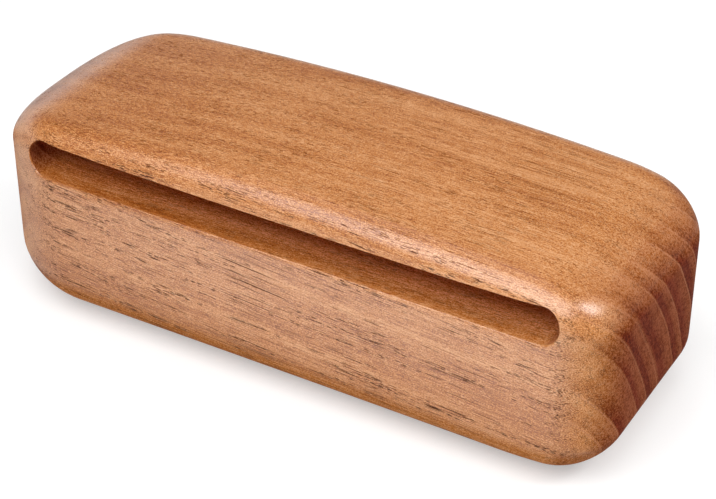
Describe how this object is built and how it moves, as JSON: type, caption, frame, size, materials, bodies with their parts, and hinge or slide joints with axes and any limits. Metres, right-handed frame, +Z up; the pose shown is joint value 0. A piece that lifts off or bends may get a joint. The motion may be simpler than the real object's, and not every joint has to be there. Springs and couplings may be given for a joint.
{
  "type": "slotted wood block",
  "caption": "Hollow-voiced percussion block: a rounded hardwood block with one long slot routed into its front, resting on a flat base.",
  "frame": {"origin": "middle of the bounding box on the plane the flat base stands on", "axes": "+X along the grain and the block's length, to the right end; +Y from the slotted front to the back; +Z up"},
  "size_m": [0.225, 0.0844, 0.074],
  "materials": {
    "lacquered_wood": "satin lacquer on straight-grained mahogany"
  },
  "bodies": {
    "root": {"slotted_block": "lacquered_wood"}
  },
  "joints": []
}
